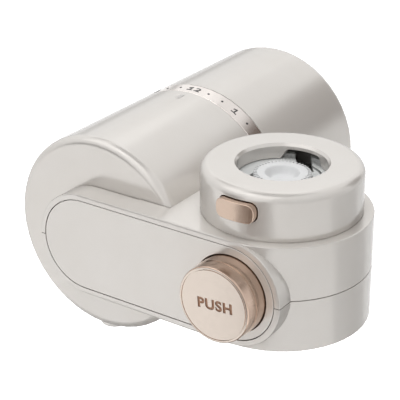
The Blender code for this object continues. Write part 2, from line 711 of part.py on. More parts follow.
def add_spray_boss(form):
    """A thick ring in the floor takes the spray plate from below and the core's outlet from above."""
    boss_top = BODY_BOTTOM_Z + SPRAY_RECESS + SPRAY_BOSS_WALL
    boss = cylinder("spray_boss", SPRAY_RADIUS + SPRAY_BOSS_WALL, BODY_BOTTOM_Z + BODY_WALL / 2, boss_top,
                    MEDIUM_STEPS)
    boolean(form, boss, "UNION")
    recess = cylinder("spray_recess", SPRAY_RADIUS + GAP, BODY_BOTTOM_Z - BODY_WALL,
                      BODY_BOTTOM_Z + SPRAY_RECESS, MEDIUM_STEPS)
    boolean(form, recess, "DIFFERENCE")
    outlet_hole = cylinder("outlet_hole", OUTLET_RADIUS + GAP, BODY_BOTTOM_Z, boss_top + GAP)
    boolean(form, outlet_hole, "DIFFERENCE")


def add_screw_bosses(form):
    """Posts for the screws that close the housing, and two pads for those that hold the drum."""
    for x, y in housing_screw_places():
        post = cylinder("screw_post", SCREW_BOSS, BODY_BOTTOM_Z + BODY_WALL / 2,
                        BODY_TOP_Z - BODY_WALL / 2, TINY_STEPS, x, y)
        boolean(form, post, "UNION")
    for x, y in housing_screw_places():
        sink = cylinder("screw_sink", SCREW_HEAD_RADIUS + GAP, BODY_BOTTOM_Z - BODY_WALL,
                        BODY_BOTTOM_Z + SCREW_SINK, TINY_STEPS, x, y)
        boolean(form, sink, "DIFFERENCE")
        bore = cylinder("screw_bore", SCREW_RADIUS + GAP, BODY_BOTTOM_Z,
                        BODY_BOTTOM_Z + SCREW_SINK + HOUSING_SCREW_LENGTH + GAP, TINY_STEPS, x, y)
        boolean(form, bore, "DIFFERENCE")
    pad_back = ARM_BACK_Y - ARM_BACK_WALL / 2
    for z in barrel_screw_heights():
        pad = cylinder("screw_pad", SCREW_BOSS, LEDGE_Y + GAP, pad_back, TINY_STEPS)
        boolean(form, along_y(pad, DRUM_X, z), "UNION")
    for z in barrel_screw_heights():
        bore = cylinder("pad_bore", SCREW_RADIUS + GAP, LEDGE_Y + 2 * GAP, ARM_BACK_Y + GAP, TINY_STEPS)
        boolean(form, along_y(bore, DRUM_X, z), "DIFFERENCE")


def make_housing_shells():
    """The form is parted near mid height."""
    form = housing_form()
    reach = ARM_LENGTH + DRUM_RADIUS
    for name, low, high in (("upper_shell", PARTING_Z + GAP / 2, 0),
                            ("lower_shell", -reach, PARTING_Z - GAP / 2)):
        half = box(name + "_half", (-reach, -reach, low), (reach, reach, high))
        boolean(half, form, "INTERSECT")
        node(half, name, IVORY)


def make_front_panel():
    """The flush cover on the arm's front, with the push button's hole."""
    panel = front_prism("panel_form", obround(DRUM_X, 0, MID_Z, ARM_RADIUS - BEZEL_WIDTH - GAP),
                        ARM_FRONT_Y, PANEL_BACK_Y)
    hole = cylinder("button_hole", BUTTON_RADIUS + GAP, ARM_FRONT_Y - PANEL_THICKNESS,
                    PANEL_BACK_Y + PANEL_THICKNESS, LARGE_STEPS)
    boolean(panel, along_y(hole), "DIFFERENCE")
    return node(panel, "front_panel", IVORY)


def make_push_button():
    """A deep cap with a stepped side and a fine groove round its face, and a boss for the stem inside."""
    front = BUTTON_FRONT_Y
    step = ARM_FRONT_Y - BUTTON_STEP
    boss_bore = STEM_RADIUS + GAP
    boss = boss_bore + STEM_BOSS_WALL
    groove = BUTTON_TOP_RADIUS - BUTTON_RIM
    inside = BUTTON_RADIUS - BUTTON_WALL
    boss_back = BUTTON_INNER_Y + STEM_BOSS_LENGTH
    profile = [(0, BUTTON_INNER_Y), (boss_bore, BUTTON_INNER_Y), (boss_bore, boss_back),
               (boss, boss_back), (boss, BUTTON_INNER_Y), (inside, BUTTON_INNER_Y),
               (inside, BUTTON_BACK_Y), (BUTTON_RADIUS, BUTTON_BACK_Y), (BUTTON_RADIUS, step),
               (BUTTON_TOP_RADIUS, step)]
    profile += arc(BUTTON_TOP_RADIUS - BUTTON_EDGE, front + BUTTON_EDGE, BUTTON_EDGE, 0, -90, 3)
    floor = front + BUTTON_GROOVE
    profile += [(groove, front), (groove, floor), (groove - BUTTON_GROOVE, floor),
                (groove - BUTTON_GROOVE, front), (0, front)]
    button = turned("button_form", profile, steps=BUTTON_STEPS)
    along_y(button)
    return node(button, "push_button", ROSE_GOLD)


def make_button_spring():
    spring = coil("button_spring", 0, MID_Z, STEM_FRONT_Y, CORE_FRONT_Y - GAP, BUTTON_SPRING_RADIUS,
                  BUTTON_SPRING_WIRE, BUTTON_SPRING_TURNS)
    return node(spring, "button_spring", STEEL)


def land_fronts():
    return (FRONT_LAND_Y, FRONT_LAND_Y + LAND_LENGTH + LAND_SPACING)


def make_spool():
    """A stem with two lands. Each land has a groove for its seal ring."""
    front_land, rear_land = land_fronts()
    back = rear_land + LAND_LENGTH
    profile = [(0, back), (SPOOL_RADIUS, back)]
    profile += ring_groove(SPOOL_RADIUS, SPOOL_RING_WIRE, rear_land + LAND_LENGTH / 2)
    profile += [(SPOOL_RADIUS, rear_land), (STEM_RADIUS, rear_land), (STEM_RADIUS, front_land + LAND_LENGTH),
                (SPOOL_RADIUS, front_land + LAND_LENGTH)]
    profile += ring_groove(SPOOL_RADIUS, SPOOL_RING_WIRE, front_land + LAND_LENGTH / 2)
    profile += [(SPOOL_RADIUS, front_land), (STEM_RADIUS, front_land), (STEM_RADIUS, STEM_FRONT_Y),
                (0, STEM_FRONT_Y)]
    spool = turned("spool_form", profile, steps=SMALL_STEPS)
    along_y(spool)
    return node(spool, "diverter_spool", WHITE)


def make_spool_seals():
    for name, front in zip(("spool_seal_front", "spool_seal_rear"), land_fronts()):
        ring = seal_ring(name, groove_ring_radius(SPOOL_RADIUS, SPOOL_RING_WIRE), SPOOL_RING_WIRE,
                         front + LAND_LENGTH / 2)
        along_y(ring)
        node(ring, name, RUBBER)


def make_valve_core():
    """The spool's barrel, with the inlet socket above, the outlet pipe below and a port to the drum."""
    barrel = cylinder("core_form", CORE_RADIUS, CORE_FRONT_Y, CORE_BACK_Y, MEDIUM_STEPS)
    along_y(barrel)
    socket_bore = SPIGOT_RADIUS + GAP
    socket_top = BODY_TOP_Z - BODY_WALL - GAP
    socket = cylinder("inlet_socket", socket_bore + INLET_SOCKET_WALL, MID_Z, socket_top)
    outlet_end = SPRAY_TOP_Z + GAP
    outlet = cylinder("outlet_pipe", OUTLET_RADIUS, outlet_end, MID_Z)
    port = cylinder("side_port", FEED_RADIUS + GAP + SIDE_PORT_WALL, 0, SIDE_PORT_LENGTH, TINY_STEPS)
    port.rotation_euler = (0, math.radians(-90), 0)
    port.location = (0, SIDE_PORT_Y, MID_Z)
    for shape in (socket, outlet, port):
        boolean(barrel, shape, "UNION")
    bore = cylinder("spool_bore", SPOOL_BORE, CORE_FRONT_Y - GAP, CORE_BACK_Y - CORE_END_WALL)
    along_y(bore)
    spigot_end = BODY_TOP_Z - SPIGOT_LENGTH - GAP
    socket_hole = cylinder("socket_bore", socket_bore, spigot_end, socket_top + GAP)
    inlet_port = cylinder("inlet_port", INLET_PORT_RADIUS, MID_Z, spigot_end + GAP, TINY_STEPS,
                          0, INLET_PORT_Y)
    outlet_hole = cylinder("outlet_bore", OUTLET_BORE, outlet_end - GAP, MID_Z - CORE_RADIUS, SMALL_STEPS)
    outlet_port = cylinder("outlet_port", OUTLET_PORT_RADIUS, MID_Z - CORE_RADIUS - GAP, MID_Z, TINY_STEPS,
                           0, OUTLET_PORT_Y)
    side_bore = cylinder("side_bore", FEED_RADIUS + GAP, SPOOL_BORE / 2, SIDE_PORT_LENGTH + GAP, TINY_STEPS)
    side_bore.rotation_euler = port.rotation_euler
    side_bore.location = port.location
    for shape in (bore, socket_hole, inlet_port, outlet_hole, outlet_port, side_bore):
        boolean(barrel, shape, "DIFFERENCE")
    return node(barrel, "valve_core", WHITE)


def bent_path(corners, bend, steps=3):
    """A path through the corners with each inner one rounded by the bend's radius."""
    path = [Vector(corners[0])]
    for before, corner, after in zip(corners, corners[1:], corners[2:]):
        corner = Vector(corner)
        back = (Vector(before) - corner).normalized()
        on = (Vector(after) - corner).normalized()
        centre = corner + (back + on) * bend
        for i in range(steps + 1):
            angle = math.radians(90 * i / steps)
            path.append(centre - on * bend * math.cos(angle) - back * bend * math.sin(angle))
    path.append(Vector(corners[-1]))
    return path


def make_feed_tube():
    """Carries water from the core's side port along the arm and through the drum's front wall."""
    start_x = -SIDE_PORT_LENGTH + FEED_INSERTION
    corners = [(start_x, SIDE_PORT_Y, MID_Z), (FEED_DROP_X, SIDE_PORT_Y, MID_Z), (FEED_DROP_X, FEED_Y, MID_Z),
               (DRUM_X, FEED_Y, MID_Z), (DRUM_X, NIPPLE_FRONT_Y - GAP, MID_Z)]
    tube = wire("feed_form", bent_path(corners, FEED_BEND), FEED_RADIUS, FEED_SIDES)
    start = Vector(corners[0]) + Vector((FEED_RADIUS, 0, 0))
    end = Vector(corners[-1]) + Vector((0, FEED_RADIUS, 0))
    bore_corners = [start] + corners[1:-1] + [end]
    boolean(tube, wire("feed_bore", bent_path(bore_corners, FEED_BEND), FEED_BORE, WIRE_SIDES), "DIFFERENCE")
    return node(tube, "feed_tube", WHITE)


def make_spray_plate():
    """The disc under the body, with a round pattern of holes for unfiltered water."""
    low = SPRAY_TOP_Z - SPRAY_THICKNESS
    edge = BODY_EDGE
    profile = [(0, SPRAY_TOP_Z), (SPRAY_RADIUS, SPRAY_TOP_Z)]
    profile += arc(SPRAY_RADIUS - edge, low + edge, edge, 0, -90, 2)
    profile += [(0, low)]
    plate = turned("spray_form", profile, steps=MEDIUM_STEPS)
    holes = bmesh.new()
    rows = ((0, 1), (1, 6), (2, 12))
    spacing = OUTLET_BORE / (len(rows) - 1) - SPRAY_HOLE / 2
    for row, count in rows:
        for i in range(count):
            angle = 2 * math.pi * i / count
            ring = bmesh.ops.create_cone(holes, cap_ends=True, segments=WIRE_SIDES, radius1=SPRAY_HOLE,
                                         radius2=SPRAY_HOLE, depth=2 * SPRAY_THICKNESS)["verts"]
            bmesh.ops.translate(holes, verts=ring, vec=(row * spacing * math.cos(angle),
                                                        row * spacing * math.sin(angle), low))
    mesh = bpy.data.meshes.new("spray_holes")
    holes.to_mesh(mesh)
    holes.free()
    boolean(plate, cutter("spray_holes", mesh), "DIFFERENCE")
    return node(plate, "spray_plate", WHITE)


def make_front_barrel():
    """The drum's front cup. Its neck carries the dial ring and the rear cap."""
    boss_bore = SOCKET_BOSS_BORE
    boss = SOCKET_BOSS_RADIUS
    feed_hole = FEED_RADIUS + GAP
    boss_end = FRONT_WALL_Y + SOCKET_BOSS_LENGTH
    inside = DRUM_RADIUS - DRUM_WALL
    neck_inside = NECK_RADIUS - NECK_WALL
    profile = [(feed_hole, DRUM_FRONT_Y), (feed_hole, FRONT_WALL_Y), (boss_bore, FRONT_WALL_Y),
               (boss_bore, boss_end), (boss, boss_end), (boss, FRONT_WALL_Y), (inside, FRONT_WALL_Y),
               (inside, BARREL_BACK_Y - DRUM_WALL), (neck_inside, BARREL_BACK_Y), (neck_inside, NECK_BACK_Y),
               (NECK_RADIUS, NECK_BACK_Y)]
    profile += ring_groove(NECK_RADIUS, RING_WIRE, NECK_BACK_Y - BARREL_RING_BACK)
    profile += [(NECK_RADIUS, BARREL_BACK_Y), (DRUM_RADIUS, BARREL_BACK_Y)]
    profile += arc(DRUM_RADIUS - DRUM_EDGE, DRUM_FRONT_Y + DRUM_EDGE, DRUM_EDGE, 0, -90)
    barrel = turned("barrel_form", profile, ring=True)
    along_y(barrel, DRUM_X)
    for z in barrel_screw_heights():
        bore = cylinder("barrel_screw_bore", SCREW_RADIUS + GAP, DRUM_FRONT_Y - DRUM_WALL,
                        FRONT_WALL_Y + DRUM_WALL, TINY_STEPS)
        boolean(barrel, along_y(bore, DRUM_X, z), "DIFFERENCE")
    nozzle_hole = cylinder("nozzle_hole", NOZZLE_RADIUS + GAP, MID_Z - DRUM_RADIUS - DRUM_WALL,
                           MID_Z - DRUM_RADIUS + 2 * DRUM_WALL, SMALL_STEPS, DRUM_X, nozzle_y())
    boolean(barrel, nozzle_hole, "DIFFERENCE")
    return node(barrel, "front_barrel", IVORY)


def nozzle_y():
    return DRUM_FRONT_Y + NOZZLE_BACK


def make_outlet_nozzle():
    """The short spout of filtered water under the drum."""
    low = MID_Z - DRUM_RADIUS - NOZZLE_PROUD
    high = MID_Z - DRUM_RADIUS + DRUM_WALL + NOZZLE_INSIDE
    profile = [(NOZZLE_BORE, low), (NOZZLE_BORE, high), (NOZZLE_RADIUS, high)]
    profile += arc(NOZZLE_RADIUS - NOZZLE_EDGE, low + NOZZLE_EDGE, NOZZLE_EDGE, 0, -90, 3)
    nozzle = turned("nozzle_form", profile, ring=True, steps=SMALL_STEPS)
    nozzle.location = (DRUM_X, nozzle_y(), 0)
    return node(nozzle, "outlet_nozzle", IVORY)


def make_barrel_seal():
    ring = seal_ring("barrel_seal", groove_ring_radius(NECK_RADIUS, RING_WIRE), RING_WIRE,
                     NECK_BACK_Y - BARREL_RING_BACK, MEDIUM_STEPS)
    along_y(ring, DRUM_X)
    return node(ring, "barrel_seal", RUBBER)


def make_dial_ring():
    inside = NECK_RADIUS + GAP
    back = RING_FRONT_Y + RING_WIDTH
    profile = [(inside, RING_FRONT_Y), (inside, back), (DRUM_RADIUS - RING_EDGE, back),
               (DRUM_RADIUS, back - RING_EDGE), (DRUM_RADIUS, RING_FRONT_Y + RING_EDGE),
               (DRUM_RADIUS - RING_EDGE, RING_FRONT_Y)]
    ring = turned("ring_form", profile, ring=True)
    along_y(ring, DRUM_X)
    return node(ring, "dial_ring", ROSE_GOLD)


def make_rear_cap():
    inside = DRUM_RADIUS - DRUM_WALL
    profile = [(0, CAP_BACK_Y)]
    profile += arc(DRUM_RADIUS - DRUM_EDGE, CAP_BACK_Y - DRUM_EDGE, DRUM_EDGE, 90, 0)
    profile += [(DRUM_RADIUS, CAP_FRONT_Y), (inside, CAP_FRONT_Y), (inside, CAP_BACK_Y - DRUM_WALL),
                (0, CAP_BACK_Y - DRUM_WALL)]
    cap = turned("cap_form", profile)
    along_y(cap, DRUM_X)
    return node(cap, "rear_cap", IVORY)


def make_cartridge():
    """The filter block between its end caps, and the seal ring on the front cap's nipple."""
    nipple_end = CARTRIDGE_FRONT_Y
    ring_y = NIPPLE_FRONT_Y + NIPPLE_RING_DEPTH
    cap_back = CARTRIDGE_FRONT_Y + CARTRIDGE_CAP
    profile = [(NIPPLE_BORE, NIPPLE_FRONT_Y), (NIPPLE_BORE, cap_back), (CARTRIDGE_RADIUS, cap_back),
               (CARTRIDGE_RADIUS, nipple_end), (NIPPLE_RADIUS, nipple_end)]
    profile += ring_groove(NIPPLE_RADIUS, CARTRIDGE_RING_WIRE, ring_y)
    profile += [(NIPPLE_RADIUS, NIPPLE_FRONT_Y)]
    front = turned("cartridge_front_form", profile, ring=True, steps=MEDIUM_STEPS)
    node(along_y(front, DRUM_X), "cartridge_front_cap", WHITE)

    block_back = CARTRIDGE_BACK_Y - CARTRIDGE_CAP - GAP
    block_front = cap_back + GAP
    profile = [(0, block_back), (CARTRIDGE_BLOCK_RADIUS, block_back), (CARTRIDGE_BLOCK_RADIUS, block_front),
               (CARTRIDGE_BORE, block_front), (CARTRIDGE_BORE, block_back - CARTRIDGE_CAP),
               (0, block_back - CARTRIDGE_CAP)]
    block = turned("cartridge_block_form", profile, steps=MEDIUM_STEPS)
    node(along_y(block, DRUM_X), "cartridge_block", FILTER)

    grip_back = CARTRIDGE_BACK_Y + CARTRIDGE_GRIP
    grip_inside = CARTRIDGE_GRIP_RADIUS - CARTRIDGE_GRIP_WALL
    profile = [(0, CARTRIDGE_BACK_Y), (grip_inside, CARTRIDGE_BACK_Y), (grip_inside, grip_back),
               (CARTRIDGE_GRIP_RADIUS, grip_back), (CARTRIDGE_GRIP_RADIUS, CARTRIDGE_BACK_Y),
               (CARTRIDGE_RADIUS, CARTRIDGE_BACK_Y), (CARTRIDGE_RADIUS, CARTRIDGE_BACK_Y - CARTRIDGE_CAP),
               (0, CARTRIDGE_BACK_Y - CARTRIDGE_CAP)]
    rear = turned("cartridge_rear_form", profile, steps=MEDIUM_STEPS)
    node(along_y(rear, DRUM_X), "cartridge_rear_cap", WHITE)

    ring = seal_ring("cartridge_seal", groove_ring_radius(NIPPLE_RADIUS, CARTRIDGE_RING_WIRE),
                     CARTRIDGE_RING_WIRE, ring_y)
    node(along_y(ring, DRUM_X), "cartridge_seal", RUBBER)


def screw_profile(length):
    """A cheese head at the top and a shank that runs down to its point."""
    return [(0, SCREW_HEAD), (SCREW_HEAD_RADIUS, SCREW_HEAD), (SCREW_HEAD_RADIUS, 0), (SCREW_RADIUS, 0),
            (SCREW_RADIUS, SCREW_RADIUS - length), (0, -length)]


def make_screws():
    for i, (x, y) in enumerate(housing_screw_places()):
        screw = turned("screw_form", screw_profile(HOUSING_SCREW_LENGTH), steps=TINY_STEPS)
        screw.rotation_euler = (math.radians(180), 0, 0)
        screw.location = (x, y, BODY_BOTTOM_Z + SCREW_SINK - GAP)
        node(screw, f"housing_screw_{i + 1}", STEEL)
    for i, z in enumerate(barrel_screw_heights()):
        screw = turned("screw_form", screw_profile(BARREL_SCREW_LENGTH), steps=TINY_STEPS)
        along_y(screw, DRUM_X, z)
        screw.location.y = FRONT_WALL_Y + GAP
        node(screw, f"barrel_screw_{i + 1}", STEEL)


def build():
    make_collar()
    make_release_button()
    make_latch_plate()
    make_release_springs()
    make_inlet_seat()
    make_strainer()
    make_inlet_seal()
    make_housing_shells()
    make_front_panel()
    make_push_button()
    make_button_spring()
    make_spool()
    make_spool_seals()
    make_valve_core()
    make_feed_tube()
    make_spray_plate()
    make_front_barrel()
    make_outlet_nozzle()
    make_barrel_seal()
    make_dial_ring()
    make_rear_cap()
    make_cartridge()
    make_screws()


build()
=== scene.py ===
"""Looks of the faucet mount water filter: finishes, printed marks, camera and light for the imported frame.
Metres, +Z up, the front faces -Y. The origin is on the faucet's axis, level with the collar's mouth."""
import json
import math

import bmesh
import bpy
from mathutils import Matrix, Vector


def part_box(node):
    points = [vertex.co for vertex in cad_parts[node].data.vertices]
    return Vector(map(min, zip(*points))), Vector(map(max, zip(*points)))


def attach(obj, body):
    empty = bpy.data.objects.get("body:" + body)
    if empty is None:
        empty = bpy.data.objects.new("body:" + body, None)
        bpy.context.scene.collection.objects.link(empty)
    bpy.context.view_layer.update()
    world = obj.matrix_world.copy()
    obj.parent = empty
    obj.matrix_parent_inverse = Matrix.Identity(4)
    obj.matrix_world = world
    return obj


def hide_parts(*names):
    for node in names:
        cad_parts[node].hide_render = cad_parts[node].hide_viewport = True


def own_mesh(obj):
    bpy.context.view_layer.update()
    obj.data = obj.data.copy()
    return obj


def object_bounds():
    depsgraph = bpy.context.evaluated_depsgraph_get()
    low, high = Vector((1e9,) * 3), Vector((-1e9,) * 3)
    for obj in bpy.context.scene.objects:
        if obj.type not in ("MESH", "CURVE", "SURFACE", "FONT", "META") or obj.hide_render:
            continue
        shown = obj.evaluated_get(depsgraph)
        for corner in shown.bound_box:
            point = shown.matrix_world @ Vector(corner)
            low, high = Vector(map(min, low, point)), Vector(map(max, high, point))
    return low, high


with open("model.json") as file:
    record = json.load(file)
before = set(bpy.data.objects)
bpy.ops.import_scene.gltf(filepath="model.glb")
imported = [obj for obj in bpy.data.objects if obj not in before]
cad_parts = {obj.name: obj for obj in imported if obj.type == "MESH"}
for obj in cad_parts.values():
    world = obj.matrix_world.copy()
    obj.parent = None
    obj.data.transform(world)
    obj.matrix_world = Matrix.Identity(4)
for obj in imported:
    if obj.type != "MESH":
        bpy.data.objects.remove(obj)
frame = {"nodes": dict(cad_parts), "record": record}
for default in ("Cube", "Light", "Camera"):
    if default in bpy.data.objects:
        bpy.data.objects.remove(bpy.data.objects[default])
CAD_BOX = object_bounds()
NODES = frame["nodes"]
SCENE = bpy.context.scene

# Camera, found by fitting the photograph
CAMERA_AZIMUTH = 35.11
CAMERA_ELEVATION = 25.09
CAMERA_ROLL = -0.45
CAMERA_DISTANCE = 0.47028
CAMERA_SIDE = -0.02718
CAMERA_RISE = 0.0357
CAMERA_FOCUS_Z = -0.05333
CAMERA_LENS = 124.15
CAMERA_SENSOR = 36.0
CAMERA_CLIP = (0.01, 20.0)

# Smooth shading: the reach over which facets are welded, the angle from which an edge is sharp, and how far
# large faces outweigh small ones in the normals
SMOOTH_GROUP = "smooth_by_angle"
WELD = 0.000002
SHARP_ANGLE = 30.0
FACE_WEIGHT = 100

# Widths of the softly broken edges
EDGE_SEGMENTS = 2
EDGES = {
    "collar": 0.00012,
    "release_button": 0.00035,
    "latch_plate": 0.00012,
    "upper_shell": 0.00040,
    "lower_shell": 0.00030,
    "front_panel": 0.00015,
    "push_button": 0.00008,
    "front_barrel": 0.00015,
    "rear_cap": 0.00015,
    "dial_ring": 0.00005,
    "outlet_nozzle": 0.00010,
    "spray_plate": 0.00010,
}

# Detail that every finish has: features a metre of the mottle and of the grain, and the grain's depth. The
# roughness varies in finer patches than the colour.
MOTTLE = 70.0
MOTTLE_DETAIL = 3.0
GRAIN = 2600.0
GRAIN_DEPTH = 0.0000015
ROUGHNESS_PATCHES = 6

# Rose gold plating: its tone where it looks to the front and round the sides. The front tone is painted
# light: a paler painted reflection on the push button, painted shade on the release button, and on the dial
# ring a dark brown painted shadow in the groove at its front edge. The one turns into the other while the
# normal's Y runs from the first value to the second.
BUTTON_TONES_WITH_PAINTED_REFLECTION = ((0.530, 0.465, 0.412), (0.570, 0.430, 0.345))
KEY_TONES_WITH_PAINTED_SHADE = ((0.450, 0.350, 0.285), (0.570, 0.430, 0.345))
RING_TONES_WITH_PAINTED_GAP_SHADOW = ((0.300, 0.190, 0.140), (0.750, 0.700, 0.665))
PAINTED_LIGHT_TURN = (-0.97, -0.75)
PLATING_MOTTLE = 110.0
PLATING_GRAIN_DEPTH = 0.0000004

# Fine lines of the latch plate, as many radians of wave to one of turn, and fibres of the filter cloth
LATCH_LINES = 110.0
LATCH_LINE_DEPTH = 0.00004
FIBRES = 700.0
FIBRE_DETAIL = 4.0
FIBRE_STRETCH = 0.15
FIBRE_DEPTH = 0.0003

# Print on the dial ring: numbers every 30 degrees, and dots between them every 10
DIAL_NUMBERS = 12
DIAL_DIVISIONS = 36
DIGIT_HEIGHT = 0.0029
DIGIT_WIDTH = 0.0024
DIGIT_GAP = 0.00055
NUMERAL_ONE = ((0.04, 0.0), (0.96, 0.0), (0.96, 0.16), (0.62, 0.16), (0.62, 1.0), (0.42, 1.0), (0.04, 0.80),
               (0.04, 0.62), (0.40, 0.79), (0.40, 0.16), (0.04, 0.16))
DOT_RADIUS = 0.00046
DOT_SIDES = 16
PRINT_DEPTH = 0.00008
PRINT_PROUD = 0.00003

# Pointer on the front barrel, in line with the twelve
POINTER_LENGTH = 0.0044
POINTER_WIDTH = 0.00140
POINTER_GAP = 0.0033
POINTER_END_STEPS = 6

# Word cut in the push button's face. Its turn is in degrees, its offset from the face's middle in X and Z.
WORD = "PUSH"
WORD_WIDTH = 0.0131
WORD_HEIGHT = 0.0038
WORD_DEPTH = 0.00022
WORD_WEIGHT = 0.045
WORD_SPACING = 1.12
WORD_TURN = 4.2
WORD_OFFSET = (0.0006, 0.00015)

# Outlines are drawn in units of their own and scaled to size later: their thickness and the reach of a weld
DRAWN_THICKNESS = 0.1
DRAWN_WELD = 0.0001

# Strainer cup: a bowl with a soft lip inside a ring of teeth. Radii of the bowl's flat, its lip and the
# teeth's roots, thicknesses of its floor and wall, and how far its underside is let in. The shares say
# where in a pitch a tooth's top and the gap beside it start and end.
CUP_FLAT = 0.0036
CUP_LIP = 0.0060
CUP_ROOT = 0.0083
CUP_FLOOR = 0.0012
CUP_WALL = 0.0011
CUP_UNDERSIDE = 0.0003
CUP_STEPS = 12
CUP_TEETH = 44
CUP_TOOTH = 0.0009
CUP_TOOTH_ROUND = 0.0002
CUP_TOOTH_SHARE = (0.0, 0.4)
CUP_GAP_SHARE = (0.5, 0.9)

# Ring that closes the joint under the collar, set back from the collar's side
JOINT_RECESS = 0.00025
JOINT_WIDTH = 0.0015
JOINT_STEPS = 96

# Studio: a pale floor well below, and even light from all round
FLOOR_DROP = 0.18
FLOOR_SIZE = 6.0
FLOOR_COLOUR = (0.86, 0.86, 0.86)
FLOOR_ROUGHNESS = 0.9
FLOOR_GLOW = 0.75
AMBIENT = 0.30
AMBIENT_COLOUR = (1.0, 0.99, 0.98)
WHITE = (1.0, 1.0, 1.0)

# Softboxes: azimuth, elevation and power
SOFTBOX_SIZE = 0.6
SOFTBOX_DISTANCE = 1.0
SOFTBOXES = {
    "front_left_low": (-45.0, 18.0, 0.67),
    "front_low": (0.0, 18.0, 0.41),
    "front_left": (-45.0, 50.0, 0.73),
    "front": (0.0, 50.0, 0.71),
    "back_low": (-180.0, 18.0, 0.26),
    "back_left": (-135.0, 50.0, 0.28),
    "back_left_low": (-144.0, 24.0, 0.20),
    "below_left": (-45.0, -9.0, 0.19),
    "overhead": (0.0, 88.0, 6.19),
}
NOT_REFLECTED = ("overhead", "front_left_low", "below_left")

# Cards that only reflections show: azimuth, elevation, distance, width, height, colour, and the share of
# the width over which a card fades to white at its rim
CARDS = {
    "card_above": (0.0, 89.0, 1.1, 1.05, 1.05, (0.070, 0.066, 0.062), 0.3),
    "card_right": (151.0, 20.5, 1.0, 0.66, 0.78, (0.170, 0.135, 0.115), 0.3),
    "card_left": (-120.0, 50.0, 1.1, 0.50, 0.40, (0.060, 0.055, 0.050), 0.3),
    "card_low": (-35.0, 2.0, 1.1, 0.80, 0.46, (0.060, 0.055, 0.050), 0.3),
    "card_back": (-138.0, 3.0, 1.2, 0.50, 0.20, (0.550, 0.540, 0.530), 0.3),
    "card_front": (1.5, -14.0, 0.396, 0.31, 0.28, (0.400, 0.345, 0.315), 0.3),
    "card_below": (0.0, -89.0, 0.165, 0.36, 0.36, (0.400, 0.385, 0.370), 0.3),
    "card_side": (120.5, -29.0, 0.30, 0.28, 0.24, (0.820, 0.810, 0.800), 0.5),
}


def new_material(name):
    """A material, its node tree and its Principled shader."""
    material = bpy.data.materials.new(name)
    material.use_nodes = True
    tree = material.node_tree
    return material, tree, tree.nodes["Principled BSDF"]


def coordinates(tree, kind):
    """The X, Y and Z of a texture coordinate."""
    place = tree.nodes.new("ShaderNodeTexCoord")
    parts = tree.nodes.new("ShaderNodeSeparateXYZ")
    tree.links.new(place.outputs[kind], parts.inputs["Vector"])
    return parts.outputs


def calculated(tree, operation, *values, clamp=False):
    """The result of a Math node. Its values are outputs of other nodes or plain numbers."""
    node = tree.nodes.new("ShaderNodeMath")
    node.operation = operation
    node.use_clamp = clamp
    for socket, value in zip(node.inputs, values):
        if isinstance(value, float):
            socket.default_value = value
        else:
            tree.links.new(value, socket)
    return node.outputs[0]


def noise(tree, scale, detail=2.0, stretch=None):
    """Noise in the object's own metres, so that its scale is in features a metre."""
    place = tree.nodes.new("ShaderNodeTexCoord")
    source = place.outputs["Object"]
    if stretch:
        mapping = tree.nodes.new("ShaderNodeMapping")
        mapping.inputs["Scale"].default_value = stretch
        tree.links.new(source, mapping.inputs["Vector"])
        source = mapping.outputs["Vector"]
    texture = tree.nodes.new("ShaderNodeTexNoise")
    texture.inputs["Scale"].default_value = scale
    texture.inputs["Detail"].default_value = detail
    tree.links.new(source, texture.inputs["Vector"])
    return texture.outputs["Fac"]


def ramp(tree, value, low, high, start=0.3, end=0.7):
    """Maps a value that runs from start to end, as a noise's middle part does, to the range low to high."""
    node = tree.nodes.new("ShaderNodeMapRange")
    node.inputs["From Min"].default_value = start
    node.inputs["From Max"].default_value = end
    node.inputs["To Min"].default_value = low
    node.inputs["To Max"].default_value = high
    tree.links.new(value, node.inputs["Value"])
    return node.outputs["Result"]


def mixed(tree, factor, first, second):
    """A colour between two."""
    node = tree.nodes.new("ShaderNodeMix")
    node.data_type = "RGBA"
    node.inputs["A"].default_value = (*first, 1.0)
    node.inputs["B"].default_value = (*second, 1.0)
    tree.links.new(factor, node.inputs["Factor"])
    return node.outputs["Result"]


def bumped(tree, height, depth):
    """A normal that a height of so much depth tilts."""
    node = tree.nodes.new("ShaderNodeBump")
    node.inputs["Strength"].default_value = 1.0
    node.inputs["Distance"].default_value = depth
    tree.links.new(height, node.inputs["Height"])
    return node.outputs["Normal"]


def surface(name, first, second, rough, metallic=0.0, mottle=MOTTLE, grain=GRAIN, depth=GRAIN_DEPTH,
            stretch=None, sockets=None):
    """A Principled material. Its colour runs between two near tones, its roughness varies a little, and a
    fine grain lifts it. sockets are further values that are the same all over it."""
    material, tree, shader = new_material(name)
    shader.inputs["Metallic"].default_value = metallic
    for socket, value in (sockets or {}).items():
        shader.inputs[socket].default_value = value
    tone = mixed(tree, ramp(tree, noise(tree, mottle, MOTTLE_DETAIL), 0.0, 1.0), first, second)
    tree.links.new(tone, shader.inputs["Base Color"])
    roughness = ramp(tree, noise(tree, mottle * ROUGHNESS_PATCHES), *rough)
    tree.links.new(roughness, shader.inputs["Roughness"])
    normal = bumped(tree, noise(tree, grain, stretch=stretch), depth)
    tree.links.new(normal, shader.inputs["Normal"])
    return material


def plating(name, face, side, rough):
    """Satin metal plating, in one tone where it looks to the front and in another round the sides. Which tone
    a face takes depends on which way it looks, so the front tone is painted light.
    """
    material = surface(name, face, face, rough, 1.0, mottle=PLATING_MOTTLE, depth=PLATING_GRAIN_DEPTH)
    tree = material.node_tree
    # Painted light: the tone follows which way a face looks, not the metal
    share = ramp(tree, coordinates(tree, "Normal")["Y"], 0.0, 1.0, *PAINTED_LIGHT_TURN)
    tone = mixed(tree, share, face, side)
    tree.links.new(tone, tree.nodes["Principled BSDF"].inputs["Base Color"])
    return material


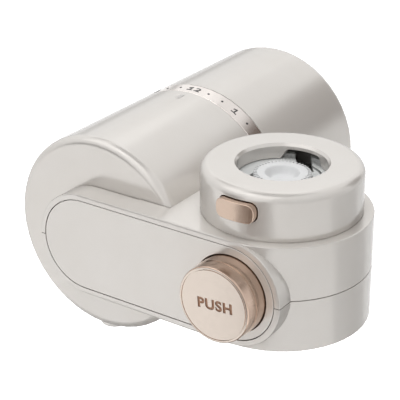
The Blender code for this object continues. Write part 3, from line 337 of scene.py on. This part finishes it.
def pearl_plastic():
    """Warm ivory plastic with a pearl finish."""
    return surface("pearl_plastic", (0.700, 0.668, 0.632), (0.716, 0.687, 0.655), (0.17, 0.22), 0.36,
                   sockets={"Specular Tint": (0.40, 0.40, 0.40, 1.0), "Coat Weight": 0.2,
                            "Coat Roughness": 0.10})


# The push button's front face takes a paler tone: a painted reflection
def rose_plating():
    return plating("rose_plating", *BUTTON_TONES_WITH_PAINTED_REFLECTION, (0.17, 0.21))


# The release button's front face takes a darker tone: painted shade
def key_plating():
    return plating("key_plating", *KEY_TONES_WITH_PAINTED_SHADE, (0.17, 0.21))


# The dial ring's faces that look to the front, in the groove at its front edge, are dark brown: a painted
# shadow in the groove
def ring_plating():
    return plating("ring_plating", *RING_TONES_WITH_PAINTED_GAP_SHADOW, (0.15, 0.19))


# Dark brown for the faces of the cut letters: painted shade in their recess
def word_plating():
    return surface("word_plating", (0.26, 0.155, 0.105), (0.32, 0.195, 0.135), (0.34, 0.42), 1.0)


def wire_steel():
    return surface("wire_steel", (0.52, 0.52, 0.53), (0.60, 0.60, 0.61), (0.24, 0.34), 1.0, grain=4200.0,
                   stretch=(1.0, 0.2, 1.0))


def white_plastic():
    return surface("white_plastic", (0.78, 0.79, 0.80), (0.81, 0.82, 0.83), (0.30, 0.38))


def strainer_plastic():
    """Milky plastic, a little less white than the rest."""
    return surface("strainer_plastic", (0.66, 0.665, 0.67), (0.69, 0.695, 0.70), (0.30, 0.38))


def dark_plastic():
    return surface("dark_plastic", (0.016, 0.015, 0.014), (0.024, 0.023, 0.022), (0.22, 0.34))


def latch_plastic():
    """Light grey plastic with fine moulded lines that run out from the faucet's axis."""
    material = surface("latch_plastic", (0.56, 0.57, 0.565), (0.62, 0.63, 0.625), (0.30, 0.40))
    tree = material.node_tree
    parts = coordinates(tree, "Object")
    turn = calculated(tree, "ARCTAN2", parts["Y"], parts["X"])
    wave = calculated(tree, "SINE", calculated(tree, "MULTIPLY", turn, LATCH_LINES))
    tree.links.new(bumped(tree, wave, LATCH_LINE_DEPTH), tree.nodes["Principled BSDF"].inputs["Normal"])
    return material


def filter_cloth():
    """Non-woven wrap: short crossing fibres."""
    material = surface("filter_cloth", (0.66, 0.655, 0.63), (0.78, 0.775, 0.755), (0.82, 0.92), mottle=900.0)
    tree = material.node_tree
    along = noise(tree, FIBRES, FIBRE_DETAIL, (1.0, FIBRE_STRETCH, 1.0))
    across = noise(tree, FIBRES, FIBRE_DETAIL, (FIBRE_STRETCH, 1.0, FIBRE_STRETCH))
    fibres = calculated(tree, "MAXIMUM", along, across)
    tree.links.new(bumped(tree, fibres, FIBRE_DEPTH), tree.nodes["Principled BSDF"].inputs["Normal"])
    return material


def rubber():
    return surface("seal_rubber", (0.020, 0.020, 0.021), (0.028, 0.028, 0.029), (0.52, 0.62), grain=5200.0,
                   depth=0.000010)


def dial_print():
    return surface("dial_print", (0.014, 0.012, 0.011), (0.020, 0.018, 0.016), (0.42, 0.50),
                   sockets={"Coat Weight": 0.45, "Coat Roughness": 0.12})


def pointer_print():
    return surface("pointer_print", (0.50, 0.485, 0.465), (0.54, 0.525, 0.505), (0.38, 0.46))


FINISHES = {
    pearl_plastic: ("collar", "upper_shell", "lower_shell", "front_panel", "front_barrel", "outlet_nozzle",
                    "rear_cap"),
    rose_plating: ("push_button",),
    key_plating: ("release_button",),
    ring_plating: ("dial_ring",),
    white_plastic: ("inlet_strainer", "diverter_spool", "valve_core", "feed_tube", "spray_plate",
                    "cartridge_front_cap", "cartridge_rear_cap"),
    latch_plastic: ("latch_plate",),
    dark_plastic: ("inlet_seat",),
    filter_cloth: ("cartridge_block",),
    rubber: ("inlet_seal", "spool_seal_front", "spool_seal_rear", "barrel_seal", "cartridge_seal"),
    wire_steel: ("release_spring_left", "release_spring_right", "button_spring", "housing_screw_1",
                 "housing_screw_2", "housing_screw_3", "barrel_screw_1", "barrel_screw_2"),
}


def smoothing_group():
    """Welds a solid's facets, then shades it smooth up to the angle from which an edge is sharp."""
    group = bpy.data.node_groups.new(SMOOTH_GROUP, "GeometryNodeTree")
    group.interface.new_socket("Geometry", in_out="INPUT", socket_type="NodeSocketGeometry")
    group.interface.new_socket("Geometry", in_out="OUTPUT", socket_type="NodeSocketGeometry")
    nodes, links = group.nodes, group.links
    source, target = nodes.new("NodeGroupInput"), nodes.new("NodeGroupOutput")
    plain = nodes.new("GeometryNodeRemoveAttribute")
    plain.inputs["Name"].default_value = "custom_normal"
    weld = nodes.new("GeometryNodeMergeByDistance")
    weld.inputs["Distance"].default_value = WELD
    smooth = nodes.new("GeometryNodeSetShadeSmooth")
    sharp = nodes.new("GeometryNodeSetShadeSmooth")
    sharp.domain = "EDGE"
    sharp.inputs["Shade Smooth"].default_value = False
    angle = nodes.new("GeometryNodeInputMeshEdgeAngle")
    over = nodes.new("FunctionNodeCompare")
    over.operation = "GREATER_THAN"
    over.inputs["B"].default_value = math.radians(SHARP_ANGLE)
    stages = (source, plain, weld, smooth, sharp, target)
    for stage, following in zip(stages, stages[1:]):
        links.new(stage.outputs["Geometry"], following.inputs["Geometry"])
    links.new(angle.outputs["Unsigned Angle"], over.inputs["A"])
    links.new(over.outputs["Result"], sharp.inputs["Selection"])
    return group


def smooth_shading(obj):
    """Adds the smooth shading, one group for all pieces."""
    smooth = obj.modifiers.new("smooth", "NODES")
    smooth.node_group = bpy.data.node_groups.get(SMOOTH_GROUP) or smoothing_group()


def dress_nodes():
    """Gives every solid its finish, smooth round faces and, where it shows, softly broken edges."""
    for finish, names in FINISHES.items():
        material = finish()
        for name in names:
            NODES[name].material_slots[0].material = material
    for name, obj in NODES.items():
        smooth_shading(obj)
        if name in EDGES:
            bevel = obj.modifiers.new("edge", "BEVEL")
            bevel.width = EDGES[name]
            bevel.segments = EDGE_SEGMENTS
            bevel.limit_method = "ANGLE"
            bevel.angle_limit = math.radians(SHARP_ANGLE)
            bevel.use_clamp_overlap = True
        weighted = obj.modifiers.new("weighted", "WEIGHTED_NORMAL")
        weighted.keep_sharp = True
        weighted.weight = FACE_WEIGHT


def finished(form, name):
    """The mesh of a form that is done."""
    mesh = bpy.data.meshes.new(name)
    form.to_mesh(mesh)
    form.free()
    return mesh


def joined(name, meshes):
    """Several meshes as one, their faces turned outwards."""
    form = bmesh.new()
    for mesh in meshes:
        form.from_mesh(mesh)
    bmesh.ops.recalc_face_normals(form, faces=form.faces)
    return finished(form, name)


def add_skin(form, rings):
    """Adds the faces between each ring of points and the next."""
    for inner, outer in zip(rings, rings[1:]):
        for i in range(len(inner)):
            form.faces.new((inner[i - 1], outer[i - 1], outer[i], inner[i]))


def curve_mesh(curve):
    """The mesh that a curve or a text makes."""
    guide = bpy.data.objects.new(curve.name, curve)
    SCENE.collection.objects.link(guide)
    bpy.context.view_layer.update()
    mesh = bpy.data.meshes.new_from_object(guide.evaluated_get(bpy.context.evaluated_depsgraph_get()))
    bpy.data.objects.remove(guide)
    return mesh


def text_mesh(word, weight=0.0, spacing=1.0):
    """A word as a closed mesh in XY, its thickness along Z."""
    curve = bpy.data.curves.new(word, "FONT")
    curve.body = word
    curve.size = 1.0
    curve.extrude = DRAWN_THICKNESS
    curve.offset = weight
    curve.space_character = spacing
    form = bmesh.new()
    form.from_mesh(curve_mesh(curve))
    bmesh.ops.remove_doubles(form, verts=form.verts, dist=DRAWN_WELD)
    return finished(form, word)


def numeral_one():
    """A one with a flag and a foot."""
    curve = bpy.data.curves.new("one", "CURVE")
    curve.dimensions = "2D"
    curve.fill_mode = "BOTH"
    curve.extrude = DRAWN_THICKNESS
    spline = curve.splines.new("POLY")
    spline.points.add(len(NUMERAL_ONE) - 1)
    for point, (x, y) in zip(spline.points, NUMERAL_ONE):
        point.co = (x, y, 0.0, 1.0)
    spline.use_cyclic_u = True
    return curve_mesh(curve)


def fit_mesh(mesh, *wanted):
    """Centres a mesh and scales it to a size in X, Y and Z."""
    low = Vector(min(v.co[i] for v in mesh.vertices) for i in range(3))
    high = Vector(max(v.co[i] for v in mesh.vertices) for i in range(3))
    size = high - low
    mesh.transform(Matrix.Translation(-(low + high) / 2))
    mesh.transform(Matrix.Diagonal([wanted[i] / size[i] for i in range(3)] + [1.0]))
    return mesh


def disc_mesh(radius, depth):
    form = bmesh.new()
    bmesh.ops.create_cone(form, cap_ends=True, segments=DOT_SIDES, radius1=radius, radius2=radius,
                          depth=depth)
    return finished(form, "disc")


def bar_mesh(width, length, depth):
    """A bar with half round ends along Y."""
    outline = []
    radius = width / 2
    for end, start in ((length / 2 - radius, 0), (radius - length / 2, 180)):
        for i in range(POINTER_END_STEPS + 1):
            angle = math.radians(start + 180 * i / POINTER_END_STEPS)
            outline.append((radius * math.cos(angle), end + radius * math.sin(angle)))
    count = len(outline)
    verts = [(x, y, z) for z in (-depth / 2, depth / 2) for x, y in outline]
    faces = [list(range(count))[::-1], list(range(count, 2 * count))]
    faces += [(i, (i + 1) % count, count + (i + 1) % count, count + i) for i in range(count)]
    mesh = bpy.data.meshes.new("bar")
    mesh.from_pydata(verts, [], faces)
    return mesh


def number_mesh(number):
    """A number of the dial, its digits side by side and centred."""
    digits = str(number)
    pitch = DIGIT_WIDTH + DIGIT_GAP
    meshes = []
    for i, digit in enumerate(digits):
        mesh = numeral_one() if digit == "1" else text_mesh(digit)
        fit_mesh(mesh, DIGIT_WIDTH, DIGIT_HEIGHT, PRINT_DEPTH)
        mesh.transform(Matrix.Translation(((i - (len(digits) - 1) / 2) * pitch, 0, 0)))
        meshes.append(mesh)
    return joined("number", meshes)


def add_piece(name, mesh, material, body):
    obj = bpy.data.objects.new(name, mesh)
    SCENE.collection.objects.link(obj)
    mesh.materials.clear()
    mesh.materials.append(material)
    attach(obj, body)
    return obj


def drum_axis():
    """The middle of the dial ring, which is on the drum's axis, and the ring's radius."""
    low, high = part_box("dial_ring")
    return (low + high) / 2, (high.x - low.x) / 2


def wrap(mesh, angle, y, radius, centre):
    """Bends a flat mesh on the drum: its X runs clockwise seen from the front, its Y rearwards, its Z out."""
    for vert in mesh.vertices:
        turn = math.radians(angle) - vert.co.x / radius
        reach = radius + vert.co.z
        vert.co = Vector((centre.x + reach * math.cos(turn), y + vert.co.y,
                          centre.z + reach * math.sin(turn)))
    return mesh


def add_dial_print():
    centre, radius = drum_axis()
    level = radius + PRINT_PROUD - PRINT_DEPTH / 2
    pitch = DIAL_DIVISIONS // DIAL_NUMBERS
    numbers, dots = [], []
    for i in range(DIAL_DIVISIONS):
        angle = 90 - 360 * i / DIAL_DIVISIONS
        if i % pitch:
            dots.append(wrap(disc_mesh(DOT_RADIUS, PRINT_DEPTH), angle, centre.y, level, centre))
        else:
            numbers.append(wrap(number_mesh(i // pitch or DIAL_NUMBERS), angle, centre.y, level, centre))
    material = dial_print()
    add_piece("dial_numbers", joined("dial_numbers", numbers), material, "dial")
    add_piece("dial_dots", joined("dial_dots", dots), material, "dial")


def add_pointer():
    centre, radius = drum_axis()
    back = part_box("dial_ring")[0].y - POINTER_GAP
    bar = bar_mesh(POINTER_WIDTH, POINTER_LENGTH, PRINT_DEPTH)
    wrap(bar, 90, back - POINTER_LENGTH / 2, radius + PRINT_PROUD - PRINT_DEPTH / 2, centre)
    add_piece("barrel_pointer", joined("barrel_pointer", [bar]), pointer_print(), "housing")


def cut_word():
    """Cuts the word in the push button's face, and gives its floor a dark brown: painted shade in the
    letters' recess.
    """
    low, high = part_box("push_button")
    middle = (low + high) / 2
    mesh = fit_mesh(text_mesh(WORD, WORD_WEIGHT, WORD_SPACING), WORD_WIDTH, WORD_HEIGHT, 2 * WORD_DEPTH)
    mesh.transform(Matrix.Rotation(math.radians(WORD_TURN), 4, "Z"))
    mesh.transform(Matrix.Rotation(math.radians(90), 4, "X"))
    mesh.transform(Matrix.Translation((middle.x + WORD_OFFSET[0], low.y, middle.z + WORD_OFFSET[1])))
    letters = bpy.data.objects.new("word_cutter", joined("word_cutter", [mesh]))
    letters.data.materials.append(word_plating())
    SCENE.collection.objects.link(letters)
    letters.hide_render = True
    letters.hide_viewport = True
    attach(letters, "diverter")
    stack = NODES["push_button"].modifiers
    cut = stack.new("word", "BOOLEAN")
    cut.operation = "DIFFERENCE"
    cut.solver = "EXACT"
    cut.material_mode = "TRANSFER"
    cut.object = letters
    stack.move(stack.find("word"), 0)


def cup_profiles(radius, height):
    """Radii and drops below the top, from the bowl outwards and back underneath, over a tooth and a gap."""
    bowl = []
    for i in range(CUP_STEPS + 1):
        share = i / CUP_STEPS
        bowl.append((CUP_FLAT + (CUP_LIP - CUP_FLAT) * share,
                     (height - CUP_FLOOR) * (1 - share * share * (3 - 2 * share))))
    edge = CUP_TOOTH_ROUND
    tooth = [(CUP_ROOT, 0.0), (CUP_ROOT + edge, 0.0), (radius - edge, 0.0), (radius, edge),
             (radius, CUP_TOOTH)]
    gap = [(CUP_ROOT, 0.0), (CUP_ROOT + edge, CUP_TOOTH), (radius - edge, CUP_TOOTH), (radius, CUP_TOOTH),
           (radius, CUP_TOOTH)]
    inside, ceiling = radius - CUP_WALL, height - CUP_UNDERSIDE
    under = [(radius, height), (inside, height), (inside, ceiling), (CUP_FLAT, ceiling)]
    return bowl + tooth + under, bowl + gap + under


def add_strainer_cup():
    """The strainer with its bowl as deep as the real one's, in the place of the plain cap."""
    low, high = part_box("inlet_strainer")
    middle = (low + high) / 2
    form = bmesh.new()
    rings = []
    for over_tooth, over_gap in zip(*cup_profiles((high.x - low.x) / 2, high.z - low.z)):
        ring = []
        for i in range(CUP_TEETH):
            for shares, (reach, drop) in ((CUP_TOOTH_SHARE, over_tooth), (CUP_GAP_SHARE, over_gap)):
                for share in shares:
                    angle = 2 * math.pi * (i + share) / CUP_TEETH
                    ring.append(form.verts.new((middle.x + reach * math.cos(angle),
                                                middle.y + reach * math.sin(angle), high.z - drop)))
        rings.append(ring)
    add_skin(form, rings)
    form.faces.new(rings[0])
    form.faces.new(rings[-1][::-1])
    bmesh.ops.remove_doubles(form, verts=form.verts, dist=WELD)
    bmesh.ops.recalc_face_normals(form, faces=form.faces)
    mesh = finished(form, "strainer_cup")
    cup = add_piece("strainer_cup", mesh, strainer_plastic(), "housing")
    smooth_shading(cup)
    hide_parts("inlet_strainer")


def add_joint_ring():
    """A ring that fills the joint under the collar, so that it shows as a shallow groove."""
    low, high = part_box("collar")
    middle, outside = (low + high) / 2, (high.x - low.x) / 2 - JOINT_RECESS
    inside, floor = outside - JOINT_WIDTH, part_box("upper_shell")[1].z
    turns = [2 * math.pi * i / JOINT_STEPS for i in range(JOINT_STEPS)]
    form = bmesh.new()
    rings = []
    for reach, z in ((outside, low.z), (outside, floor), (inside, floor), (inside, low.z)):
        rings.append([form.verts.new((middle.x + reach * math.cos(turn),
                                      middle.y + reach * math.sin(turn), z)) for turn in turns])
    add_skin(form, rings + rings[:1])
    bmesh.ops.recalc_face_normals(form, faces=form.faces)
    pearl = NODES["collar"].material_slots[0].material
    ring = add_piece("collar_joint", finished(form, "collar_joint"), pearl, "housing")
    smooth_shading(ring)


def add_springs():
    """The buttons' springs, which the record lists as deforming, as copies of their own on the housing in the
    place of the imported ones.
    """
    material = wire_steel()
    for joint in frame["record"]["behaviour"]["joints"]:
        for row in joint.get("deforming_nodes", []):
            name = row["node"]
            coil = add_piece(name + "_coil", NODES[name].data.copy(), material, "housing")
            smooth_shading(coil)
            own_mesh(coil)
            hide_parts(name)


def direction(azimuth, elevation):
    """Towards the viewer at an azimuth, where 0 looks along +Y, and at an elevation above the horizon."""
    a, e = math.radians(azimuth), math.radians(elevation)
    return Vector((math.sin(a) * math.cos(e), -math.cos(a) * math.cos(e), math.sin(e)))


def aim(obj, azimuth, elevation, distance):
    """Adds a lamp or a card at a distance from the filter's middle, with its -Z towards the filter."""
    towards = direction(azimuth, elevation)
    obj.location = (CAD_BOX[0] + CAD_BOX[1]) / 2 + towards * distance
    obj.rotation_euler = towards.to_track_quat("Z", "Y").to_euler()
    SCENE.collection.objects.link(obj)


def make_camera():
    back = direction(CAMERA_AZIMUTH, CAMERA_ELEVATION)
    right = direction(CAMERA_AZIMUTH + 90, 0)
    up = back.cross(right)
    roll = math.radians(CAMERA_ROLL)
    right, up = (math.cos(roll) * right + math.sin(roll) * up,
                 -math.sin(roll) * right + math.cos(roll) * up)
    eye = right * CAMERA_SIDE + up * CAMERA_RISE + back * CAMERA_DISTANCE + Vector((0, 0, CAMERA_FOCUS_Z))
    data = bpy.data.cameras.new("camera")
    data.sensor_width = CAMERA_SENSOR
    data.lens = CAMERA_LENS
    data.clip_start, data.clip_end = CAMERA_CLIP
    camera = bpy.data.objects.new("camera", data)
    camera.matrix_world = Matrix.Translation(eye) @ Matrix((right, up, back)).transposed().to_4x4()
    SCENE.collection.objects.link(camera)
    SCENE.camera = camera


def sky_mask(tree):
    """One for rays that see the background directly, in metal or through glass."""
    path = tree.nodes.new("ShaderNodeLightPath")
    total = path.outputs["Is Camera Ray"]
    for output in ("Is Glossy Ray", "Is Transmission Ray"):
        total = calculated(tree, "ADD", total, path.outputs[output], clamp=True)
    return total


def make_world():
    """Soft light from all round, and plain white where the background is seen."""
    world = bpy.data.worlds.new("studio")
    world.use_nodes = True
    tree = world.node_tree
    light = tree.nodes["Background"]
    light.inputs["Color"].default_value = (*AMBIENT_COLOUR, 1.0)
    light.inputs["Strength"].default_value = AMBIENT
    seen = tree.nodes.new("ShaderNodeBackground")
    seen.inputs["Color"].default_value = (*WHITE, 1.0)
    seen.inputs["Strength"].default_value = 1.0
    mix = tree.nodes.new("ShaderNodeMixShader")
    tree.links.new(sky_mask(tree), mix.inputs["Fac"])
    tree.links.new(light.outputs[0], mix.inputs[1])
    tree.links.new(seen.outputs[0], mix.inputs[2])
    tree.links.new(mix.outputs[0], tree.nodes["World Output"].inputs["Surface"])
    SCENE.world = world


def flat_panel(name, width, height, z=0.0):
    """A rectangle in XY."""
    x, y = width / 2, height / 2
    mesh = bpy.data.meshes.new(name)
    mesh.from_pydata([(-x, -y, z), (x, -y, z), (x, y, z), (-x, y, z)], [], [(0, 1, 2, 3)])
    return mesh


def make_floor():
    """A pale floor well below, as the filter hangs on its faucet. It glows only for rays that see it."""
    level = CAD_BOX[0].z - FLOOR_DROP
    floor = bpy.data.objects.new("floor", flat_panel("floor", FLOOR_SIZE, FLOOR_SIZE, level))
    SCENE.collection.objects.link(floor)
    material, tree, shader = new_material("pale_floor")
    shader.inputs["Base Color"].default_value = (*FLOOR_COLOUR, 1.0)
    shader.inputs["Roughness"].default_value = FLOOR_ROUGHNESS
    glow = tree.nodes.new("ShaderNodeEmission")
    glow.inputs["Color"].default_value = (*WHITE, 1.0)
    tree.links.new(calculated(tree, "MULTIPLY", sky_mask(tree), FLOOR_GLOW), glow.inputs["Strength"])
    both = tree.nodes.new("ShaderNodeAddShader")
    tree.links.new(shader.outputs[0], both.inputs[0])
    tree.links.new(glow.outputs[0], both.inputs[1])
    tree.links.new(both.outputs[0], tree.nodes["Material Output"].inputs["Surface"])
    floor.data.materials.append(material)


def edge_fade(tree, reach):
    """Nought at the rim of a flat panel and one over its middle."""
    parts = coordinates(tree, "Generated")
    folds = [calculated(tree, "PINGPONG", parts[axis], 0.5) for axis in "XY"]
    share = tree.nodes.new("ShaderNodeMapRange")
    share.interpolation_type = "SMOOTHSTEP"
    share.inputs["From Max"].default_value = reach
    tree.links.new(calculated(tree, "MINIMUM", *folds), share.inputs["Value"])
    return share.outputs["Result"]


def make_cards():
    """Cards of the studio, darker than its white, which only reflections show."""
    for name, (azimuth, elevation, distance, width, height, colour, fade) in CARDS.items():
        material, tree, _ = new_material(name)
        glow = tree.nodes.new("ShaderNodeEmission")
        tree.links.new(mixed(tree, edge_fade(tree, fade), WHITE, colour), glow.inputs["Color"])
        tree.links.new(glow.outputs[0], tree.nodes["Material Output"].inputs["Surface"])
        card = bpy.data.objects.new(name, flat_panel(name, width, height))
        card.data.materials.append(material)
        card.visible_camera = card.visible_diffuse = card.visible_shadow = card.visible_transmission = False
        aim(card, azimuth, elevation, distance)


def make_lamps():
    for name, (azimuth, elevation, power) in SOFTBOXES.items():
        data = bpy.data.lights.new(name, "AREA")
        data.shape = "SQUARE"
        data.size = SOFTBOX_SIZE
        data.energy = power
        lamp = bpy.data.objects.new(name, data)
        lamp.visible_glossy = name not in NOT_REFLECTED
        aim(lamp, azimuth, elevation, SOFTBOX_DISTANCE)


SCENE.view_settings.view_transform = "Standard"
make_camera()
dress_nodes()
add_dial_print()
add_pointer()
cut_word()
add_strainer_cup()
add_joint_ring()
add_springs()
make_world()
make_floor()
make_cards()
make_lamps()
